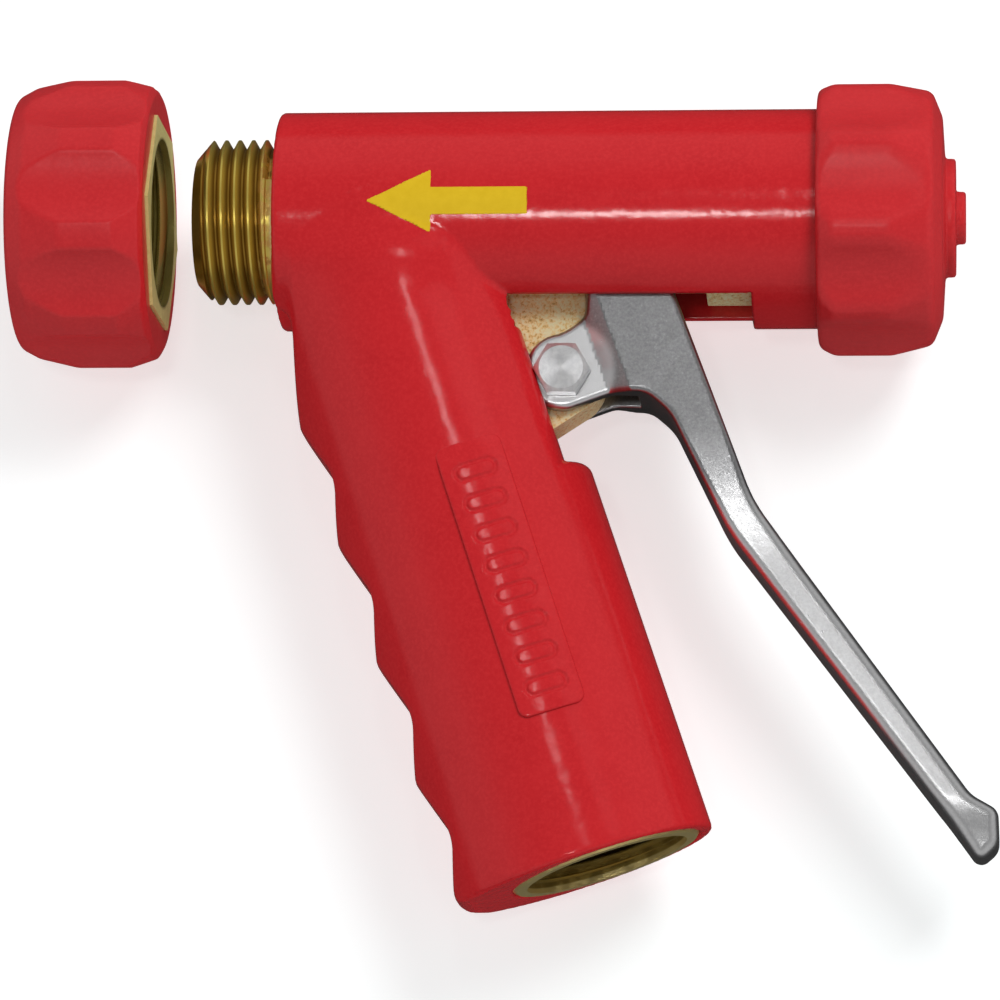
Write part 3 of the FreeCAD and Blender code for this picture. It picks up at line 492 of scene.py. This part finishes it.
class Shader:
    """A material's node tree, with short calls for the nodes that the finishes share."""

    def __init__(self, name, **sockets):
        self.material = bpy.data.materials.new(name)
        self.material.use_nodes = True
        self.tree = self.material.node_tree
        self.surface = self.tree.nodes["Principled BSDF"]
        for socket, value in sockets.items():
            self.surface.inputs[socket.replace("_", " ")].default_value = value
        place = self.node("ShaderNodeTexCoord").outputs["Object"]
        self.place = self.vector("SCALE", place, scale=1 / MM)

    def node(self, kind, **settings):
        """A new node of the given kind."""
        made = self.tree.nodes.new(kind)
        for name, value in settings.items():
            setattr(made, name, value)
        return made

    def put(self, socket, value):
        """Links another node's output to a socket, or sets the socket to a number or colour."""
        if isinstance(value, bpy.types.NodeSocket):
            self.tree.links.new(value, socket)
        elif socket.type == "RGBA" and len(value) == 3:
            socket.default_value = (*value, 1)
        else:
            socket.default_value = value

    def set(self, **sockets):
        """Fills sockets of the surface shader; an underscore in a name stands for a space."""
        for name, value in sockets.items():
            self.put(self.surface.inputs[name.replace("_", " ")], value)

    def vector(self, operation, first, second=None, scale=None):
        made = self.node("ShaderNodeVectorMath", operation=operation)
        self.put(made.inputs[0], first)
        if second is not None:
            self.put(made.inputs[1], second)
        if scale is not None:
            self.put(made.inputs["Scale"], scale)
        return made.outputs["Value" if operation in ("LENGTH", "DOT_PRODUCT") else "Vector"]

    def math(self, operation, *values):
        made = self.node("ShaderNodeMath", operation=operation)
        for socket, value in zip(made.inputs, values):
            self.put(socket, value)
        return made.outputs[0]

    def between(self, value, low, high):
        """Nought below low, one above high, and smooth between."""
        made = self.node("ShaderNodeMapRange", interpolation_type="SMOOTHSTEP")
        for socket, number in zip(made.inputs, (value, low, high)):
            self.put(socket, number)
        return made.outputs[0]

    def noise(self, scale, detail=2.0, roughness=0.5, place=None):
        made = self.node("ShaderNodeTexNoise")
        self.put(made.inputs["Vector"], self.place if place is None else place)
        for socket, value in (("Scale", scale), ("Detail", detail), ("Roughness", roughness)):
            self.put(made.inputs[socket], value)
        return made.outputs["Fac"]

    def ramp(self, value, *stops):
        made = self.node("ShaderNodeValToRGB")
        self.put(made.inputs[0], value)
        elements = made.color_ramp.elements
        while len(elements) < len(stops):
            elements.new(0.5)
        for element, (place, colour) in zip(elements, stops):
            element.position = place
            element.color = (*colour, 1)
        return made.outputs["Color"]

    def mix(self, share, first, second):
        """First colour where share is nought, second where it is one."""
        made = self.node("ShaderNodeMix", data_type="RGBA")
        factor, colour_a, colour_b = (made.inputs[index] for index in (0, 6, 7))
        self.put(factor, share)
        self.put(colour_a, first)
        self.put(colour_b, second)
        return made.outputs[2]

    def bump(self, height, distance, strength=1.0, normal=None):
        """Relief of the given depth in millimetres."""
        made = self.node("ShaderNodeBump")
        self.put(made.inputs["Strength"], strength)
        self.put(made.inputs["Distance"], distance * MM)
        self.put(made.inputs["Height"], height)
        if normal is not None:
            self.put(made.inputs["Normal"], normal)
        return made.outputs["Normal"]

    def axis_radius(self, centre, keep):
        """Distance from a line through centre; keep holds nought along the line's axis."""
        offset = self.vector("SUBTRACT", self.place, centre)
        return self.vector("LENGTH", self.vector("MULTIPLY", offset, keep))

    def component(self, axis):
        """One coordinate of the place on the object, in millimetres."""
        parts = self.node("ShaderNodeSeparateXYZ")
        self.put(parts.inputs[0], self.place)
        return parts.outputs[axis]


def red_rubber(name, gloss, roughness):
    """Moulded red rubber: a slight cloud in its colour, fine grain and soft unevenness."""
    finish = Shader(name, IOR=1.5, Specular_IOR_Level=gloss)
    cloud = finish.noise(0.12, 3, 0.6)
    grain = finish.noise(1.6, 4, 0.65)
    colour = finish.ramp(cloud, (0.3, (0.560, 0.0120, 0.0175)), (0.7, (0.600, 0.0150, 0.0205)))
    colour = finish.mix(finish.between(grain, 0.35, 0.75), colour, (0.640, 0.0210, 0.0260))
    rough = finish.math("MULTIPLY_ADD", finish.noise(0.5, 4, 0.6), 0.08, roughness)
    finish.set(Base_Color=colour, Roughness=rough)
    relief = finish.bump(finish.noise(0.35, 2, 0.5), 0.08, 0.6)
    finish.set(Normal=finish.bump(finish.noise(3.0, 3, 0.6), 0.006, 0.7, relief))
    return finish.material


def yellow_paint():
    """Printed yellow of the flow arrow."""
    finish = Shader("arrow_paint", IOR=1.5, Specular_IOR_Level=0.15)
    cloud = finish.noise(0.6, 4, 0.6)
    colour = finish.ramp(cloud, (0.3, (0.740, 0.480, 0.014)), (0.75, (0.800, 0.530, 0.020)))
    finish.set(Base_Color=colour, Roughness=0.5)
    finish.set(Normal=finish.bump(finish.noise(2.5, 3), 0.02, 0.6))
    return finish.material


def brass(name, light, dark, roughness, relief=0.01, grain=2.0):
    """Machined brass with fine tool marks and a little tarnish."""
    finish = Shader(name, Metallic=1.0)
    stain = finish.noise(0.3, 4, 0.6)
    finish.set(Base_Color=finish.ramp(stain, (0.3, dark), (0.65, light)))
    finish.set(Roughness=roughness, Normal=finish.bump(finish.noise(grain, 4, 0.7), relief))
    return finish


def casting_brass():
    """Rough bright casting, with turned threads at both ends; painted shade darkens the casting's pits,
    the threads' roots and the inlet's bore, and painted glints lighten the casting's speckle.
    """
    finish = Shader("cast_and_turned_brass")
    x = finish.component("X")
    y = finish.component("Y")
    speckle = finish.noise(1.5, 6, 0.75)
    # Random tone of the rough casting. The same noise is its bump's height, so the dark specks are painted
    # shade in its pits and the palest specks are painted glints on its peaks.
    cast_tone_painted_glints = finish.ramp(speckle, (0.34, (0.520, 0.270, 0.060)), (0.46, (1.000, 0.720, 0.300)),
                       (0.56, (1.000, 0.900, 0.560)))
    radius = finish.axis_radius((0, 0, 0), (0, 1, 1))
    # Painted shade: the turned threads darken from their crests down to their roots, nearer the axis.
    flank = finish.between(radius, 12.1, 13.3)
    turned = finish.mix(flank, (0.360, 0.200, 0.025), (0.780, 0.600, 0.130))
    on_nose = finish.between(x, 6.6, 5.8)
    patch = finish.between(finish.noise(0.5, 3, 0.6), 0.45, 0.55)
    rough_band = finish.math("MULTIPLY", finish.between(x, 3.6, 4.6), patch)
    turned = finish.mix(rough_band, turned, (0.820, 0.560, 0.150))
    on_inlet = finish.between(y, -88.0, -90.0)
    worked = finish.math("MAXIMUM", on_nose, on_inlet)
    along = finish.math("ADD", finish.math("MULTIPLY", x, math.sin(GRIP_RAKE)),
                        finish.math("MULTIPLY", y, -math.cos(GRIP_RAKE)))
    mouth = GRIP_ORIGIN * math.sin(GRIP_RAKE) + GRIP_BOTTOM
    # Painted shade: the inlet's bore is painted near black from 4 mm inside its mouth, and lightens
    # towards the mouth.
    bore_painted_shade = finish.mix(finish.between(along, mouth - 4.0, mouth - 2.2), (0.080, 0.052, 0.012),
                      (0.420, 0.290, 0.070))
    rim = finish.between(along, mouth - 0.8, mouth - 0.5)
    inlet = finish.mix(rim, bore_painted_shade, (1.000, 0.800, 0.330))
    smooth = finish.mix(on_inlet, turned, inlet)
    finish.set(Base_Color=finish.mix(worked, cast_tone_painted_glints, smooth))
    finish.set(Roughness=finish.math("MULTIPLY_ADD", worked, -0.16, 0.45))
    finish.set(Metallic=finish.math("MULTIPLY_ADD", worked, 0.62, 0.20))
    rough_share = finish.math("MAXIMUM", finish.math("SUBTRACT", 1.0, worked), rough_band)
    finish.set(Normal=finish.bump(speckle, 0.20, rough_share, finish.bump(finish.noise(2.5, 3), 0.01)))
    return finish.material


def lever_steel():
    """Forged stainless: a dull blasted head, and a brighter tumbled arm."""
    finish = Shader("forged_stainless", Metallic=1.0)
    y = finish.component("Y")
    arm = finish.between(y, -42.0, -52.0)
    speckle = finish.noise(2.2, 5, 0.7)
    dull = finish.ramp(speckle, (0.35, (0.300, 0.300, 0.305)), (0.62, (0.400, 0.400, 0.405)),
                       (0.75, (0.62, 0.62, 0.63)))
    bright = finish.ramp(speckle, (0.35, (0.700, 0.700, 0.705)), (0.70, (0.840, 0.840, 0.845)))
    ear = finish.between(finish.axis_radius((PIVOT[0], PIVOT[1], 0), (1, 1, 0)), 9.2, 7.6)
    ear = finish.math("MULTIPLY", ear, finish.between(finish.component("Z"), 6.0, 6.9))
    head = finish.mix(ear, dull, (0.84, 0.84, 0.845))
    finish.set(Base_Color=finish.mix(arm, head, bright))
    finish.set(Roughness=finish.math("ADD", 0.24, finish.math("MULTIPLY", finish.noise(0.8, 4), 0.14)))
    dents = finish.bump(finish.noise(0.25, 2), 0.10, 0.5)
    finish.set(Normal=finish.bump(speckle, 0.02, 0.8, dents))
    return finish.material


def turned_steel(name, centre):
    """Steel faced in a lathe: rings round an upright axis, and the streak that they cause."""
    finish = Shader(name, Metallic=1.0, Anisotropic=0.75)
    offset = finish.vector("SUBTRACT", finish.place, centre)
    round_axis = finish.vector("CROSS_PRODUCT", (0, 0, 1), offset)
    finish.set(Tangent=finish.vector("NORMALIZE", round_axis))
    radius = finish.axis_radius(centre, (1, 1, 0))
    rings = finish.math("SINE", finish.math("MULTIPLY", radius, 26.0))
    finish.set(Base_Color=finish.ramp(finish.noise(1.2, 4), (0.3, (0.74, 0.74, 0.75)), (0.7, (0.92,) * 3)))
    finish.set(Roughness=0.32, Normal=finish.bump(rings, 0.003))
    return finish.material


def steel(name, light, dark, roughness):
    """Plain drawn or ground steel."""
    finish = Shader(name, Metallic=1.0)
    finish.set(Base_Color=finish.ramp(finish.noise(0.9, 4, 0.6), (0.3, dark), (0.7, light)))
    finish.set(Roughness=roughness, Normal=finish.bump(finish.noise(3.0, 3), 0.008))
    return finish.material


def soft(name, light, dark, roughness, relief):
    """Rubber, fibre or packing."""
    finish = Shader(name)
    finish.set(Base_Color=finish.ramp(finish.noise(1.2, 4, 0.6), (0.3, dark), (0.7, light)))
    finish.set(Roughness=roughness, Normal=finish.bump(finish.noise(2.0, 4, 0.6), relief))
    return finish.material


def ring_brass():
    """The ring nut: a dull sawn face, and threads inside with painted shade in their roots and crests
    lightened partly by a painted reflection.
    """
    finish = brass("ring_brass", (0.42, 0.33, 0.15), (0.30, 0.23, 0.09), 0.3)
    radius = finish.axis_radius((0, 0, 0), (0, 1, 1))
    inside = finish.between(radius, 14.3, 13.4)
    face = finish.ramp(finish.noise(0.8, 5, 0.7), (0.3, (0.66, 0.58, 0.20)), (0.7, (0.80, 0.73, 0.30)))
    # Threads inside: painted shade darkens their roots; their crests' lighter colour is partly brass and
    # partly a painted reflection.
    thread_painted_shade_and_reflection = finish.mix(finish.between(radius, 13.5, 12.4), (0.26, 0.20, 0.04), (0.80, 0.68, 0.22))
    finish.set(Base_Color=finish.mix(inside, face, thread_painted_shade_and_reflection))
    finish.set(Roughness=finish.math("MULTIPLY_ADD", inside, -0.25, 0.5))
    finish.set(Metallic=finish.math("MULTIPLY_ADD", inside, 0.4, 0.3))
    return finish.material


RUBBER = red_rubber("red_rubber_gloss", 0.35, 0.09)
KNOB_RUBBER = red_rubber("red_rubber_satin", 0.45, 0.30)
NODE_FINISHES = {
    "body_casting": casting_brass(),
    "ring_nut": ring_brass(),
    "pivot_bolt": turned_steel("bolt_steel", (PIVOT[0], PIVOT[1], 0)),
    "pivot_nut": turned_steel("nut_steel", (PIVOT[0], PIVOT[1], 0)),
    "gland_nut": brass("gland_brass", (0.62, 0.45, 0.13), (0.45, 0.31, 0.07), 0.28).material,
    "gland_washer": brass("gland_washer_brass", (0.62, 0.45, 0.13), (0.45, 0.31, 0.07), 0.3).material,
    "rear_cap": brass("cap_brass", (0.62, 0.45, 0.13), (0.45, 0.31, 0.07), 0.28).material,
    "valve_stem": steel("stem_steel", (0.75,) * 3, (0.60,) * 3, 0.2),
    "spray_plug": steel("plug_steel", (0.75,) * 3, (0.60,) * 3, 0.25),
    "thrust_washer": steel("washer_steel", (0.62,) * 3, (0.48,) * 3, 0.32),
    "adjusting_nut": steel("nut_plate", (0.62,) * 3, (0.48,) * 3, 0.3),
    "jam_nut": steel("jam_plate", (0.62,) * 3, (0.48,) * 3, 0.3),
    "return_spring": steel("spring_wire", (0.50,) * 3, (0.38,) * 3, 0.3),
    "valve_disc": soft("disc_rubber", (0.030,) * 3, (0.018,) * 3, 0.6, 0.02),
    "ring_washer": soft("washer_rubber", (0.035,) * 3, (0.020,) * 3, 0.65, 0.03),
    "rear_gasket": soft("gasket_fibre", (0.16, 0.09, 0.05), (0.10, 0.055, 0.03), 0.8, 0.05),
}
for end in ("front", "middle", "rear"):
    NODE_FINISHES["packing_ring_" + end] = soft("packing_" + end, (0.10,) * 3, (0.05,) * 3, 0.7, 0.06)
for name, material in NODE_FINISHES.items():
    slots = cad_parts[name].material_slots
    for slot in slots:
        slot.material = material

# --- pieces --------------------------------------------------------------------------------------

field_mesh("cover", cover_field, (6, -115, -19), (96.2, 19, 19), 0.6, RUBBER, "root",
           ["rubber_cover"])
field_mesh("bumper", bumper_field, (93.6, -23, -23), (118.4, 23, 23), 0.5, KNOB_RUBBER,
           "root", ["rear_bumper"])
field_mesh("ring_grip", ring_field, (-37, -24.4, -24.4), (-13, 24.4, 24.4), 0.45, KNOB_RUBBER,
           "ring", ["ring_cover"])
field_mesh("trigger", lever_field, (46.6, -107, -9.8), (124.4, 4, 9.8), 0.45, lever_steel(),
           "lever", ["lever"])
field_mesh("grip_panel", panel_field, (33, -90, 15), (62, -34, 19.5), 0.3, RUBBER, "root")
field_mesh("flow_arrow", arrow_field, (21, -7, 15), (49, 5.2, 18.8), 0.3, yellow_paint(),
           "root")

return_spring(NODE_FINISHES["return_spring"])

# --- floor, light and camera ---------------------------------------------------------------------

FLOOR = CAD_BOX[0].z - 0.0002
FLOOR_REACH = 4.0


def floor():
    """A plain pale floor that lights the object from below a little."""
    finish = Shader("pale_floor", Roughness=0.9)
    tone = finish.ramp(finish.noise(0.002, 2), (0.3, (0.580, 0.630, 0.630)), (0.7, (0.595, 0.645, 0.645)))
    finish.set(Base_Color=tone)
    finish.set(Emission_Color=(1, 1, 1), Emission_Strength=0.60)
    mesh = bpy.data.meshes.new("floor")
    sides = ((-1, -1), (1, -1), (1, 1), (-1, 1))
    mesh.from_pydata([(x * FLOOR_REACH, y * FLOOR_REACH, FLOOR) for x, y in sides], [], [(0, 1, 2, 3)])
    mesh.materials.append(finish.material)
    ground = bpy.data.objects.new("floor", mesh)
    bpy.context.scene.collection.objects.link(ground)
    ground.visible_glossy = False


def sky():
    """A studio dome: bright overhead and dim towards the horizon."""
    world = bpy.data.worlds.new("studio")
    world.use_nodes = True
    bpy.context.scene.world = world
    nodes, links = world.node_tree.nodes, world.node_tree.links
    place = nodes.new("ShaderNodeTexCoord")
    parts = nodes.new("ShaderNodeSeparateXYZ")
    share = nodes.new("ShaderNodeMapRange")
    share.inputs[1].default_value = -1
    ramp = nodes.new("ShaderNodeValToRGB")
    stops = ((0.0, 0.03), (0.47, 0.06), (0.56, 0.45), (0.80, 0.50), (0.93, 0.28), (1.0, 0.22))
    while len(ramp.color_ramp.elements) < len(stops):
        ramp.color_ramp.elements.new(0.5)
    for element, (spot, level) in zip(ramp.color_ramp.elements, stops):
        element.position = spot
        element.color = (level, level, level, 1)
    links.new(place.outputs["Generated"], parts.inputs[0])
    links.new(parts.outputs["Z"], share.inputs[0])
    links.new(share.outputs[0], ramp.inputs[0])
    links.new(ramp.outputs[0], nodes["Background"].inputs["Color"])
    nodes["Background"].inputs["Strength"].default_value = 1.0


AIM = Vector((43.03, -46.39, 0)) * MM
CAMERA_PLACE = Vector((123.83, -240.39, 970.0)) * MM
CAMERA_LENS = 221.1
CAMERA_ROLL = math.radians(0.784)
LIGHT_DISTANCE = 1.3


def softbox(name, direction, width, height, radiance, shows=True, turn=0):
    """An area light of a given brightness, facing the object; shows says if gloss reflects it."""
    data = bpy.data.lights.new(name, "AREA")
    data.shape = "RECTANGLE"
    data.size, data.size_y = width, height
    data.energy = radiance * math.pi * width * height
    lamp = bpy.data.objects.new(name, data)
    facing = Vector(direction).normalized()
    lamp.matrix_world = (Matrix.Translation(AIM + facing * LIGHT_DISTANCE)
                         @ facing.to_track_quat("Z", "Y").to_matrix().to_4x4()
                         @ Matrix.Rotation(math.radians(turn), 4, "Z"))
    lamp.visible_camera = False
    lamp.visible_glossy = shows
    bpy.context.scene.collection.objects.link(lamp)


def camera():
    """Looks down at the nozzle as it lies, with the barrel across the frame."""
    data = bpy.data.cameras.new("camera")
    data.sensor_width = 36
    data.lens = CAMERA_LENS
    data.clip_end = 20
    lens = bpy.data.objects.new("camera", data)
    ahead = (AIM - CAMERA_PLACE).normalized()
    right = ahead.cross(Vector((0, 1, 0))).normalized()
    up = right.cross(ahead)
    across = right * math.cos(CAMERA_ROLL) + up * math.sin(CAMERA_ROLL)
    above = up * math.cos(CAMERA_ROLL) - right * math.sin(CAMERA_ROLL)
    turn = Matrix((across, above, -ahead)).transposed().to_4x4()
    lens.matrix_world = Matrix.Translation(CAMERA_PLACE) @ turn
    bpy.context.scene.collection.objects.link(lens)
    bpy.context.scene.camera = lens


floor()
sky()
softbox("key", (0.38, 0.42, 0.82), 0.45, 0.45, 13.5, shows=False)
softbox("strip", (-0.045, -0.094, 0.99), 0.11, 0.09, 34.0)
softbox("kicker", (0.066, 0.245, 0.968), 0.045, 0.20, 12.0, turn=18.6)
camera()
bpy.context.scene.view_settings.view_transform = "Standard"
